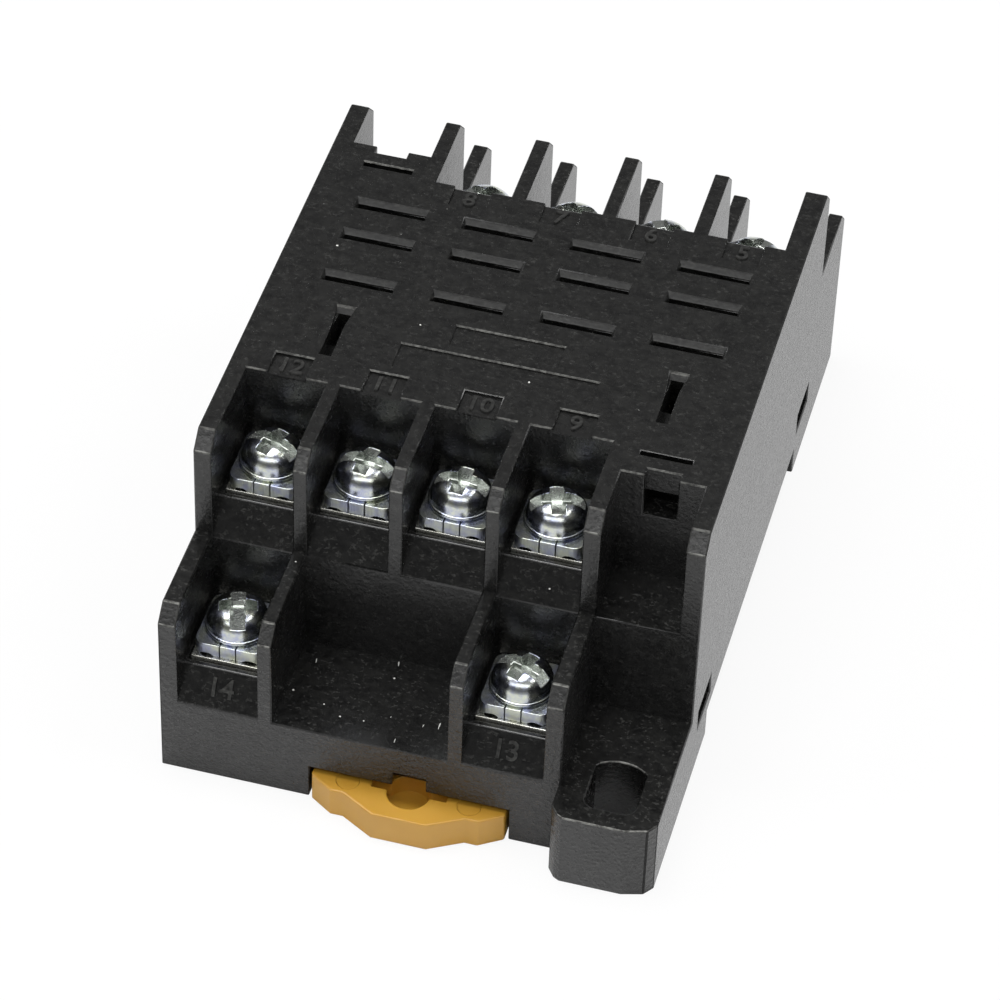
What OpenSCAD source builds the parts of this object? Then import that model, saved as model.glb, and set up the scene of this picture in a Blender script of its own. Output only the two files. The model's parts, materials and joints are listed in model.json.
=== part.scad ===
// Screw-terminal relay socket, fourteen poles, for a 35 mm rail or two panel screws.
// Origin: centre of the underside. X runs across, -Y is the rail-latch end, Z is up.

/* [Housing] */
// Width across the two side faces, mm
body_w = 45; // [44.8:0.1:46]
// Length of the base without the mounting ears, mm
base_l = 70.1; // [69.5:0.1:70.5]
// Length over both mounting ears, mm
ear_l = 77; // [76.5:0.1:77.5]
// Height of the top face, mm
body_h = 29.6; // [29.4:0.1:30.4]
// Height of the mounting ears, mm
ear_h = 8; // [7.7:0.1:8.1]

/* [Terminals] */
// Width of a front terminal bay, mm
front_bay = 7.25; // [7.1:0.05:7.3]
// Width of a rear terminal bay, mm
rear_bay = 7.1; // [7:0.05:7.2]
// Screw head diameter, mm
head_d = 5.8; // [5.4:0.1:6]
// Screw head height, mm
head_h = 2.5; // [2.4:0.1:2.7]
// Terminal plate thickness, mm
plate_t = 0.9; // [0.8:0.05:1]
// Clamp plate thickness, mm
clamp_t = 1.35; // [1.3:0.05:1.5]

/* [Rail fixing] */
// Width of the rail channel, mm
rail_w = 35.4; // [35.2:0.1:35.8]
// Depth of the rail channel, mm
rail_h = 3; // [2.8:0.1:3.2]
// Width of the mounting slots, mm
slot_w = 4.4; // [4.2:0.1:4.5]
// Length of the mounting slots, mm
slot_l = 5.7; // [5.2:0.1:5.9]

/* [Hidden] */
$fn = 48;
half_w = body_w / 2;
half_base = base_l / 2;
half_ear = ear_l / 2;
half_top = 24.5;        // reach of the upper tier walls
half_deck = 14.5;       // edge of the top deck at the terminal bays
half_ear_deck = 17.8;   // edge of the top deck at the ear channel
low_h = 18.8;           // top of the lower tier walls
high_floor = 18.4;      // front edge of the upper terminal blocks
low_floor = 8.1;        // front edge of the lower terminal blocks
block_rise = 3.1;       // height of a sloping terminal block
block_run = 2.1;        // depth of its slope
end_cut = 1.5;          // chamfer at the wall ends
front_wall = 1.25;      // divider between front bays
rear_wall = 1.35;       // divider between rear bays
front_edge = 1.6;       // outer wall beside the first front bay
rear_edge = 2.05;       // outer wall beside the first rear bay
thin_edge = 1.3;        // outer wall of the rear lower tier
ear_side = 13.4;        // inner side of the ear column
ear_in = 13.2;          // inner side of the ear itself
ear_wall = 1.75;        // outer wall of the ear channel
plate_sink = 0.55;      // depth of the seat that holds a terminal plate
seat_w = 6.65;
high_front = 21.85;     // front edge of an upper terminal plate
low_front = 32.3;       // front edge of a lower terminal plate
high_plate = high_floor + block_rise - plate_sink;
low_plate = low_floor + block_rise - plate_sink;
high_screw = 18.6;      // screw centre from the middle, upper tier
low_screw = 28.8;       // screw centre from the middle, lower tier
deck_t = 3;             // thickness of the top deck
shell_x = 19.9;         // half width of the inner space
shell_high = 13;        // half length of the inner space under the deck
shell_low = 23.2;       // half length of the inner space under the upper tier
shell_roof = 13.8;      // roof of the inner space under the upper tier
cover_t = 1.6;
cover_x = 20.5;
cover_y = 17.5;
pin_x = [-14.8, -4.8, 5.15, 15.1];   // relay blade columns
pin_y = [8.9, 4.45, -1.45];          // front edge of each blade row
pin_w = 6.25;
pin_gap = 1.05;
pin_bevel = 0.5;
coil_x = [-14.85, 15.25];
coil_w = 1.05;
coil_y0 = -11;
coil_y1 = -4.9;
coil_hole = -7;
coil_groove = 2.4;      // depth of the groove before a coil hole
coil_bevel = 0.5;
clip_x0 = 14.4;
clip_x1 = 19;
clip_y0 = 14.8;
clip_y1 = 15.4;
thread_r = 1.42;
tapped_r = 1.5;
screw_len = 8;
boss_r = 2.2;
boss_h = 1.1;
well_r = 2.6;
well_h = 6.1;           // depth of the screw well below the terminal plate
clamp_w = 6.2;
clamp_l = 6.4;
plate_w = 6.45;
latch_w = 17.4;
latch_z = 0.05;
latch_t = 3.1;
latch_gap = 9;
pocket_z = 1.3;         // floor of the pull pocket in the latch
latch_roof = 3.65;
fuse = 0.5;             // overlap that joins neighbouring blocks

// Centre of bay i counted from the walled corner of one end.
function bay_x(i, edge, bay, wall) = -half_w + edge + bay / 2 + i * (bay + wall);
function front_x(i) = bay_x(i, front_edge, front_bay, front_wall);
function rear_x(i) = bay_x(i, rear_edge, rear_bay, rear_wall);

// Terminals 1 to 14: [bay, rear end, lower tier, driver slot angle]
TERMS = [
    [0, true, true, 20], [1, true, true, 75], [2, true, true, 130], [3, true, true, 5],
    [0, true, false, 62], [1, true, false, 118], [2, true, false, 35], [3, true, false, 150],
    [3, false, false, 18], [2, false, false, 176], [1, false, false, 172], [0, false, false, 160],
    [3, false, true, 159], [0, false, true, 106]
];
function two(n) = n < 10 ? str("0", n) : str(n);
function term_x(t) = t[1] ? rear_x(t[0]) : front_x(t[0]);
function term_y(t) = t[2] ? low_screw : high_screw;
function term_z(t) = t[2] ? low_plate : high_plate;

// A [y, z] outline carried across X from x0 to x1.
module across(x0, x1, outline) {
    translate([x0, 0, 0])
        rotate([90, 0, 90])
            linear_extrude(x1 - x0)
                polygon(outline);
}

module box(x0, x1, y0, y1, z0, z1) {
    translate([x0, y0, z0])
        cube([x1 - x0, y1 - y0, z1 - z0]);
}

// One wall of a tier, reaching from y = -inner to y = -outer, chamfered at its top end.
module wall(x0, x1, inner, outer, z0, z1, cut) {
    across(x0, x1, [[-inner, z0], [-outer, z0], [-outer, z1 - cut], [-outer + cut, z1], [-inner, z1]]);
}

// Sloping block that carries a terminal plate.
module block(x0, x1, inner, outer, z) {
    across(x0, x1, [
        [-inner, z - fuse], [-outer, z - fuse], [-outer, z],
        [-outer + block_run, z + block_rise], [-inner, z + block_rise]
    ]);
}

// Outline of the base and its ear at the latch end; the ear has two-step corners.
module base_plan() {
    polygon([
        [-half_w, 0], [-half_w, -half_base], [ear_in, -half_base], [ear_in, -half_ear + 1.2],
        [ear_in + 0.65, -half_ear + 0.3], [ear_in + 1.2, -half_ear], [half_w - 2.6, -half_ear],
        [half_w - 0.7, -half_ear + 0.55], [half_w, -half_ear + 1.5], [half_w, 0]
    ]);
}

// One end of the housing, seen as the latch end.
module half_body(edge, bay, divider, low_bays, low_edge) {
    far = half_w - ear_wall;
    linear_extrude(ear_h)
        base_plan();
    box(-half_w, ear_side, -half_base, fuse, 0, low_floor);
    box(-half_w, half_w, -half_top, fuse, 0, high_floor);
    box(-half_w, half_w, -half_deck, fuse, 0, body_h);
    box(ear_side - fuse, half_w, -half_ear_deck, fuse, 0, body_h);
    wall(-half_w, -half_w + edge, half_deck - fuse, half_top, high_floor - fuse, body_h, end_cut);
    wall(far, half_w, half_deck - fuse, half_top, high_floor - fuse, body_h, end_cut);
    for (i = [0:3]) {
        x = bay_x(i, edge, bay, divider);
        right = i == 3 ? ear_side : x + bay / 2 + divider;
        wall(x + bay / 2, right, half_deck - fuse, half_top, high_floor - fuse, body_h, end_cut);
        block(x - bay / 2 - fuse, x + bay / 2 + fuse, half_deck - fuse, half_top, high_floor);
    }
    wall(-half_w, -half_w + low_edge, half_top - fuse, half_base, low_floor - fuse, low_h, end_cut);
    for (i = low_bays) {
        x = bay_x(i, edge, bay, divider);
        left = i == 0 ? -half_w + low_edge : x - bay / 2;
        right = i == 3 ? ear_side : x + bay / 2 + divider;
        wall(x + bay / 2, right, half_top - fuse, half_base, low_floor - fuse, low_h, end_cut);
        block(left - fuse, x + bay / 2 + fuse, half_top - fuse, half_base, low_floor);
        if (i > 0)
            wall(x - bay / 2 - divider, x - bay / 2, half_top - fuse, half_base, low_floor - fuse, low_h, end_cut);
    }
}

// Openings of one terminal: seat of the plate, screw well and tail window.
module term_cuts(x, deep, front, inner, z, reach) {
    box(x - seat_w / 2, x + seat_w / 2, -front - 0.05, -inner, z, z + plate_sink + fuse);
    translate([x, -deep, z - well_h])
        cylinder(r = well_r, h = well_h + fuse);
    box(x - 2.8, x + 2.8, -inner - 0.01, -reach, z, z + plate_t + 0.2);
}

// Cuts that belong to one end of the housing, seen as the latch end.
module half_cuts(edge, bay, divider, low_bays) {
    for (i = [0:3]) {
        x = bay_x(i, edge, bay, divider);
        term_cuts(x, high_screw, high_front, half_deck, high_plate, shell_high - 0.1);
        box(x - 1.7, x + 1.7, -half_deck - fuse, -11.8, body_h - 0.35, body_h + 1);
    }
    for (i = low_bays)
        term_cuts(bay_x(i, edge, bay, divider), low_screw, low_front, half_top, low_plate, shell_low - 0.1);
    ear_slot();
    clip_cuts();
}

module ear_slot() {
    y = -33.7;
    r = slot_w / 2;
    d = slot_l / 2 - r;
    x = (ear_side + half_w) / 2;
    translate([x, y - d, -1])
        cylinder(r = r, h = ear_h + 2);
    translate([x, y + d, -1])
        cylinder(r = r, h = ear_h + 2);
    box(x - r, x + r, y - d, y + d, -1, ear_h + 2);
}

// Slot, groove and window for the wire clip that holds the relay down.
module clip_cuts() {
    box(clip_x0, clip_x1, -clip_y1, -clip_y0, 24, body_h + 1);
    box(15.5, 18.45, -half_ear_deck - 1, -16.9, 25, body_h + 1);
    box(15.5, 18.45, -17, -clip_y0 - 0.2, 25, 27.1);
}

// Blade slot with a bevelled lead-in along its rear edge.
module blade_slot(x, y) {
    box(x - pin_w / 2, x + pin_w / 2, y, y + pin_gap, body_h - deck_t - 1, body_h + 1);
    y1 = y + pin_gap;
    w = pin_w / 2;
    intersection() {
        across(x - w - 1, x + w + 1, [
            [y, body_h - pin_bevel], [y1, body_h - pin_bevel], [y1 + pin_bevel, body_h],
            [y1 + pin_bevel, body_h + 1], [y, body_h + 1]
        ]);
        translate([x, y1 + 2, 0])
            rotate([90, 0, 0])
                linear_extrude(4)
                    polygon([
                        [-w, body_h - pin_bevel], [w, body_h - pin_bevel], [w + 0.25, body_h],
                        [w + 0.25, body_h + 1], [-w - 0.25, body_h + 1], [-w - 0.25, body_h]
                    ]);
    }
}

// Lengthwise coil slot: a hole, a blind groove before it and a bevel behind it.
module coil_slot(x) {
    w = coil_w / 2;
    box(x - w, x + w, coil_hole, coil_y1, body_h - deck_t - 1, body_h + 1);
    box(x - w, x + w, coil_y0, coil_hole + 0.1, body_h - coil_groove, body_h + 1);
    intersection() {
        across(x - w - 1, x + w + 1, [
            [coil_hole, body_h - coil_bevel], [coil_y1, body_h - coil_bevel],
            [coil_y1 + coil_bevel, body_h], [coil_y1 + coil_bevel, body_h + 1], [coil_hole, body_h + 1]
        ]);
        translate([x, 0, 0])
            linear_extrude(body_h + 2)
                polygon([
                    [-w, coil_hole], [w, coil_hole], [w + 0.3, coil_y1 + coil_bevel],
                    [-w - 0.3, coil_y1 + coil_bevel]
                ]);
    }
}

module deck_cuts() {
    for (x = pin_x)
        for (y = pin_y)
            blade_slot(x, y);
    for (x = coil_x)
        coil_slot(x);
    box(-4.9, 4.9, -6.6, -4, body_h - 0.25, body_h + 1);
    box(-8.9, 8.9, -10.7, -7.6, body_h - 0.25, body_h + 1);
}

// Space for the contact strips, closed from below by the bottom cover.
module inner_space() {
    floor_z = rail_h + cover_t;
    difference() {
        union() {
            box(-shell_x, shell_x, -shell_low, shell_low, floor_z, shell_roof);
            box(-shell_x, shell_x, -shell_high, shell_high, floor_z, body_h - deck_t);
        }
        for (x = [-9.8, 0.17, 10.12])
            box(x - 0.6, x + 0.6, -11.6, 11.6, 14.5, body_h);
    }
    box(-cover_x - 0.05, cover_x + 0.05, -cover_y - 0.05, cover_y + 0.05, rail_h - 1, floor_z);
    for (s = [-1, 1])
        for (y = [[-22, -17], [18, 22.9]])
            box(min(s * shell_x, s * (half_w + 1)), max(s * shell_x, s * (half_w + 1)), y[0], y[1], floor_z, 7);
}

// Rail channel and the guide of the rail latch.
module underside_cuts() {
    box(-half_w - 1, half_w + 1, -rail_w / 2, rail_w / 2, -1, rail_h);
    box(-latch_gap, latch_gap, -half_base - 1, -rail_w / 2 + 1, -1, latch_roof);
    box(-1.5, 1.5, -half_base - 1, -half_base + 1.2, latch_roof - 1, 5.2);
    box(-latch_gap - 1.4, latch_gap + 1.4, -32.5, -rail_w / 2 + 1, 1.1, 2.7);
}

module housing() {
    color("#232323") {
        difference() {
            union() {
                half_body(front_edge, front_bay, front_wall, [0, 3], front_edge);
                rotate([0, 0, 180])
                    half_body(rear_edge, rear_bay, rear_wall, [0:3], thin_edge);
            }
            half_cuts(front_edge, front_bay, front_wall, [0, 3]);
            rotate([0, 0, 180])
                half_cuts(rear_edge, rear_bay, rear_wall, [0:3]);
            deck_cuts();
            inner_space();
            underside_cuts();
        }
        // fixed rail hooks at the rear and the stop rib of the latch
        for (x = [-14, 7])
            box(x, x + 7, rail_w / 2 - 1.1, rail_w / 2 + fuse, 0.2, 1.7);
        box(-1.2, 1.2, -29.7, -28.1, 0.6, latch_roof + fuse);
    }
}

module bottom_cover() {
    color("#262626")
        difference() {
            box(-cover_x, cover_x, -cover_y, cover_y, rail_h, rail_h + cover_t);
            for (x = [-12, 0, 12])
                box(x - 4, x + 4, -14, 14, rail_h - 1, rail_h + 0.3);
        }
}

// Pull-out latch under the front foot.
module rail_latch() {
    y1 = -rail_w / 2 + 1.2;
    w = latch_w / 2;
    top = latch_z + latch_t;
    tip = [[-w, -34], [-w, -35.3], [-6.65, -36.65], [-5.5, -36.65], [-2.5, -38.35],
        [2.5, -38.35], [5.5, -36.65], [6.65, -36.65], [w, -35.3], [w, -34]];
    color("#d29a2c")
        difference() {
            union() {
                translate([0, 0, latch_z])
                    linear_extrude(latch_t)
                        polygon(concat(tip, [[w, -19], [-w, -19]]));
                across(-w, w, [[-19.5, latch_z], [y1, latch_z], [y1, 0.7], [y1 - 1, 1.7], [-18.1, 1.7],
                    [-18.1, top], [-19.5, top]]);
                for (s = [-1, 1])
                    box(min(s * (w - 0.3), s * 9.9), max(s * (w - 0.3), s * 9.9), -28.2, -20, 1.4, 2.4);
            }
            translate([0, -35, pocket_z])
                cylinder(r = 1.9, h = latch_t);
            box(-3.4, 3.4, -35.15, -34.2, pocket_z, latch_t + 1);
            box(-1.6, 1.6, -30, -23.8, -1, 5);
            for (s = [-1, 1])
                translate([s * 5.45, -35.1, top - 0.08])
                    cylinder(r = 1, h = 1);
        }
}

// Terminal plate with a tapped boss and a tail through the housing wall.
module terminal_plate(deep, reach, inner, w) {
    difference() {
        union() {
            box(-w / 2, w / 2, -reach, -inner - 0.1, 0, plate_t);
            box(-2.2, 2.2, -inner - 1, -inner + 2.8, 0, plate_t);
            translate([0, -deep, -boss_h])
                cylinder(r = boss_r, h = boss_h + 0.1);
        }
        translate([0, -deep, -boss_h - 1])
            cylinder(r = tapped_r, h = boss_h + plate_t + 2);
    }
}

// Spring fork under a blade slot, open at the top.
module blade_fork(x, y, foot) {
    mid = y + pin_gap / 2;
    for (s = [-1, 1])
        box(x - 2.3, x + 1.1, mid + s * 0.65 - 0.25, mid + s * 0.65 + 0.25, 19.6, 26.2);
    box(x - 2.3, x + 1.1, mid - 0.9, mid + 0.9, foot, 19.7);
}

module coil_fork(x, foot) {
    mid = (coil_hole + coil_y1) / 2;
    for (s = [-1, 1])
        box(x + s * 0.85 - 0.25, x + s * 0.85 + 0.25, mid - 1.2, mid + 1.2, 19.6, 26.2);
    box(x - 1.1, x + 1.1, mid - 1.2, mid + 1.2, foot, 19.7);
}

// Terminals 5 to 12: the strip stays high and passes beside the other blade rows.
module high_contact(t) {
    s = t[1] ? 1 : -1;
    x = s * -term_x(t);
    p = pin_x[t[1] ? 3 - t[0] : t[0]];
    q = p + s * 2.4;
    row = t[1] ? 1 : 2;
    z = high_plate;
    color("#c9ccc8") {
        rotate([0, 0, t[1] ? 180 : 0])
            translate([term_x(t), 0, z])
                terminal_plate(high_screw, high_front, half_deck, plate_w);
        box(min(x, q) - 0.8, max(x, q) + 0.8, min(s * 11.7, s * 12.7), max(s * 11.7, s * 12.7), z, z + plate_t);
        far = pin_y[row] + pin_gap / 2;
        box(q - 0.8, q + 0.8, min(far, s * 12.7), max(far, s * 12.7), z, z + plate_t);
        box(min(p, q) - 0.8, max(p, q) + 0.8, far - 0.9, far + 0.9, z, z + plate_t);
        blade_fork(p, pin_y[row], 18.8);
    }
}

// Terminals 1 to 4, 13 and 14: the strip runs low and rises under its slot.
module low_contact(t) {
    s = t[1] ? 1 : -1;
    x = s * -term_x(t);
    p = t[1] ? pin_x[3 - t[0]] : coil_x[t[0] == 0 ? 0 : 1];
    end = t[1] ? pin_y[0] + pin_gap / 2 : (coil_hole + coil_y1) / 2;
    q = t[1] ? p - 0.3 : p;
    z = low_plate;
    color("#c9ccc8") {
        rotate([0, 0, t[1] ? 180 : 0])
            translate([term_x(t), 0, z])
                terminal_plate(low_screw, low_front, half_top, plate_w);
        box(min(x, q) - 0.9, max(x, q) + 0.9, min(s * 21.1, s * 22.6), max(s * 21.1, s * 22.6), z, z + plate_t);
        box(q - 0.9, q + 0.9, min(end, s * 22.6), max(end, s * 22.6), z, z + plate_t);
        box(q - 0.9, q + 0.9, end - 0.9, end + 0.9, z, 19.6);
        if (t[1])
            blade_fork(p, pin_y[0], 18.8);
        else
            coil_fork(p, 18.8);
    }
}

module place(t) {
    rotate([0, 0, t[1] ? 180 : 0])
        translate([term_x(t), -term_y(t), term_z(t) + plate_t])
            children();
}

module contact(n) {
    t = TERMS[n - 1];
    if (t[2])
        low_contact(t);
    else
        high_contact(t);
}

module clamp(n) {
    c = 0.7;
    w = clamp_w / 2;
    l = clamp_l / 2;
    color("#d4d7d6")
        place(TERMS[n - 1])
            difference() {
                linear_extrude(clamp_t)
                    polygon([[-w, -l + c], [-w + c, -l], [w - c, -l], [w, -l + c],
                        [w, l - c], [w - c, l], [-w + c, l], [-w, l - c]]);
                translate([0, 0, -1])
                    cylinder(r = 1.75, h = 3);
            }
}

module screw(n) {
    t = TERMS[n - 1];
    r = head_d / 2;
    color("#dcdedc")
        place(t)
            translate([0, 0, clamp_t])
                difference() {
                    union() {
                        rotate_extrude()
                            polygon([[0, 0], [r - 0.25, 0], [r, 0.25], [r, 1], [r - 0.25, 1.6],
                                [r - 0.85, 2.15], [r - 1.75, head_h], [0, head_h]]);
                        translate([0, 0, -screw_len])
                            cylinder(r = thread_r, h = screw_len + 0.5);
                    }
                    rotate([0, 0, t[3]]) {
                        box(-r - 1, r + 1, -0.6, 0.6, head_h - 0.9, head_h + 1);
                        box(-0.55, 0.55, -1.95, 1.95, head_h - 1.3, head_h + 1);
                        box(-1.95, 1.95, -0.55, 0.55, head_h - 1.3, head_h + 1);
                    }
                }
}

housing();
bottom_cover();
rail_latch();
for (n = [1:14]) contact(n);
for (n = [1:14]) clamp(n);
for (n = [1:14]) screw(n);
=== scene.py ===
import json
import math

import bmesh
import bpy
from mathutils import Euler, Matrix, Vector

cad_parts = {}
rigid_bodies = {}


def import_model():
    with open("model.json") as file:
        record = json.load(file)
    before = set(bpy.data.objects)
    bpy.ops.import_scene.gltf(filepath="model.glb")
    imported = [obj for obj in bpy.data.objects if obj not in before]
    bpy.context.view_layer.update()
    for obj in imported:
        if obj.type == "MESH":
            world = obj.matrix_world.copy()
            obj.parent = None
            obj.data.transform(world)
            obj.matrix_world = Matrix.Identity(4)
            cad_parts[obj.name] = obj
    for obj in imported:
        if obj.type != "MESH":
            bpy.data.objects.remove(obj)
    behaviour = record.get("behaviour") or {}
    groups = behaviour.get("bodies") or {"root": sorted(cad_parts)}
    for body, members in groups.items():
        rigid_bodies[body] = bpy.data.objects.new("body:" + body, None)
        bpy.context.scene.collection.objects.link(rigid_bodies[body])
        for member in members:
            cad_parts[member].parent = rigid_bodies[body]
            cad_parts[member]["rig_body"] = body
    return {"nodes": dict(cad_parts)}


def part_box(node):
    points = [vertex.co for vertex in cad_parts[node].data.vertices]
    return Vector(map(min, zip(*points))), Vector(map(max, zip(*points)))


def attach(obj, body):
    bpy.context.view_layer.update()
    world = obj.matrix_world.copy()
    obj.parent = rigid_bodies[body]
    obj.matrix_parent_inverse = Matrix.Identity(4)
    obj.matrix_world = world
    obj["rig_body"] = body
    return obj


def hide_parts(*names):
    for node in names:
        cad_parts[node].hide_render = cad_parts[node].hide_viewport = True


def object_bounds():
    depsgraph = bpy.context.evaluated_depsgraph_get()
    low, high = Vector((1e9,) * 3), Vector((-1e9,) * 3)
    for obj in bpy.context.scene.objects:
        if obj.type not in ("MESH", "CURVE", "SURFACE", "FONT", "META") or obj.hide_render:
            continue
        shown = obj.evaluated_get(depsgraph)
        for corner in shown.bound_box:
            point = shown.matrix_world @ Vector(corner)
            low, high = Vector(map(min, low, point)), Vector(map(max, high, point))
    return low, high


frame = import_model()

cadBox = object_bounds()
mm = 0.001
terminals = ["%02d" % n for n in range(1, 15)]
tierSplit = 16   # clamp plates seated below this height, in mm, are on the lower tiers
mixA, mixB, mixed = 6, 7, 2   # a Mix node's two colour inputs, and its colour output
print("frame loaded:", len(frame["nodes"]), "nodes")


def linear(hexText):
    parts = [int(hexText[i:i + 2], 16) / 255 for i in (1, 3, 5)]
    return [*(c / 12.92 if c <= 0.04045 else ((c + 0.055) / 1.055) ** 2.4 for c in parts), 1]


def addNode(tree, kind, inputs=None, **settings):
    node = tree.nodes.new(kind)
    for name, value in settings.items():
        setattr(node, name, value)
    for name, value in (inputs or {}).items():
        socket = node.inputs[name]
        if isinstance(value, bpy.types.NodeSocket):
            tree.links.new(value, socket)
        else:
            socket.default_value = value
    return node


def newMaterial(name):
    material = bpy.data.materials.new(name)
    material.use_nodes = True
    tree = material.node_tree
    shader = tree.nodes["Principled BSDF"]
    place = addNode(tree, "ShaderNodeTexCoord").outputs["Object"]
    return material, tree, shader, place


# The Scale of a pattern whose parts are this many millimetres apart.
def perMetre(sizeMm):
    return 1 / (sizeMm * mm)


# Sizes, heights and reliefs are in mm, hair turns in radians, and shares and roughness run from 0 to 1.
# edge is the colour of the painted highlight on rounded edges, and edgeDull is how much duller those edges
# are made.
nylonLook = dict(
    dark="#070707", light="#1d1d1c", mottleSize=0.75, flowStretch=0.7,
    speck="#8a8a87", speckSize=0.3, patchSize=1.1, fewSpecks=0.01, manySpecks=0.11, coarseSpecks=0.6,
    edge="#8a8a86", edgeDull=8.0,
    dust="#dcdcd8", dustSpacing=1.0, dustSize=0.1, dustShare=0.03, floorDustShare=0.3,
    hairSpacing=3.6, hairStretch=0.12, hairSize=0.05, hairShare=0.13, hairTurns=(0.9, -0.6),
    hairBend=0.5, bendSize=1.6, openHeight=8.4, openFront=-24.6, openRight=4.0,
    deckHeight=28.9, deckBlend=0.3, smooth=0.2, coarse=0.14,
    grainSize=0.34, grainStretch=0.45, grainDull=0.12,
    relief=0.04, flatRelief=0.02, deckRelief=0.04, skinRelief=0.15, flankX=22.3, endY=34.9,
)


# How the skin lies at a point: where it is, which way it faces, how far it slopes, and whether it is coarse.
# Upright faces and the top deck come out of the mould smoother than slopes and low ledges.
def mouldedSkin(tree, place):
    deck, blend = nylonLook["deckHeight"], nylonLook["deckBlend"]
    facing = addNode(tree, "ShaderNodeNewGeometry").outputs["True Normal"]
    way = addNode(tree, "ShaderNodeSeparateXYZ", {0: facing}).outputs
    where = addNode(tree, "ShaderNodeSeparateXYZ", {0: place}).outputs
    sideways = addNode(tree, "ShaderNodeMath", {0: way["X"]}, operation="ABSOLUTE")
    sloping = addNode(tree, "ShaderNodeMapRange", {"Value": way["Z"], "From Min": 0.1, "From Max": 0.3})
    below = addNode(tree, "ShaderNodeMapRange", {
        "Value": where["Z"], "From Min": deck * mm, "From Max": (deck + blend) * mm,
        "To Min": 1.0, "To Max": 0.0})
    coarse = addNode(tree, "ShaderNodeMath", {0: sloping.outputs[0], 1: below.outputs[0]},
                     operation="MULTIPLY")
    return dict(way=way, where=where, sideways=sideways.outputs[0], sloping=sloping.outputs[0],
                coarse=coarse.outputs[0])


# Near black, mottled along the flow into the mould, with pale glass ends in patches.
def fibredColour(tree, place, flowed, glass, skin):
    look = nylonLook
    mottle = addNode(tree, "ShaderNodeTexNoise", {
        "Vector": flowed, "Scale": perMetre(look["mottleSize"]), "Detail": 5.0, "Roughness": 0.7})
    cloud = addNode(tree, "ShaderNodeMapRange", {
        "Value": mottle.outputs["Fac"], "From Min": 0.36, "From Max": 0.64})
    body = addNode(tree, "ShaderNodeMix", {
        "Factor": cloud.outputs[0], mixA: linear(look["dark"]), mixB: linear(look["light"])},
        data_type="RGBA")
    ends = addNode(tree, "ShaderNodeMapRange", {"Value": glass, "From Min": 0.54, "From Max": 0.7})
    patch = addNode(tree, "ShaderNodeTexNoise", {
        "Vector": place, "Scale": perMetre(look["patchSize"]), "Detail": 3.0, "Roughness": 0.6})
    share = addNode(tree, "ShaderNodeMapRange", {
        "Value": patch.outputs["Fac"], "From Min": 0.36, "From Max": 0.64,
        "To Min": look["fewSpecks"], "To Max": look["manySpecks"]})
    more = addNode(tree, "ShaderNodeMath", {0: skin["coarse"], 1: look["coarseSpecks"], 2: 1.0},
                   operation="MULTIPLY_ADD")
    amount = addNode(tree, "ShaderNodeMath", {0: share.outputs[0], 1: more.outputs[0]}, operation="MULTIPLY")
    speckled = addNode(tree, "ShaderNodeMath", {0: ends.outputs[0], 1: amount.outputs[0]},
                       operation="MULTIPLY", use_clamp=True)
    fibred = addNode(tree, "ShaderNodeMix", {
        "Factor": speckled.outputs[0], mixA: body.outputs[mixed], mixB: linear(look["speck"])},
        data_type="RGBA")
    return fibred.outputs[mixed]


# Edges get a painted highlight: lighter grey, most of all where they face up and to the latch end.
def rubbedColour(tree, colour, edgeLit, glass, skin):
    frontUp = addNode(tree, "ShaderNodeMath", {0: skin["way"]["Y"], 1: skin["way"]["Z"]},
                      operation="MULTIPLY")
    facingFront = addNode(tree, "ShaderNodeMapRange", {
        "Value": frontUp.outputs[0], "From Min": -0.12, "From Max": -0.34, "To Min": 0.08, "To Max": 1.0})
    square = addNode(tree, "ShaderNodeMapRange", {
        "Value": skin["sideways"], "From Min": 0.1, "From Max": 0.35, "To Min": 1.0, "To Max": 0.15})
    towardLamps = addNode(tree, "ShaderNodeMath", {0: facingFront.outputs[0], 1: square.outputs[0]},
                      operation="MULTIPLY")
    broken = addNode(tree, "ShaderNodeMapRange", {
        "Value": glass, "From Min": 0.36, "From Max": 0.6, "To Min": 0.25, "To Max": 1.0})
    highlightShare = addNode(tree, "ShaderNodeMath", {0: towardLamps.outputs[0], 1: broken.outputs[0]},
                      operation="MULTIPLY")
    highlighted = addNode(tree, "ShaderNodeMath", {0: edgeLit, 1: highlightShare.outputs[0]}, operation="MULTIPLY")
    edged = addNode(tree, "ShaderNodeMix", {
        "Factor": highlighted.outputs[0], mixA: colour, mixB: linear(nylonLook["edge"])}, data_type="RGBA")
    return edged.outputs[mixed]


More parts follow.
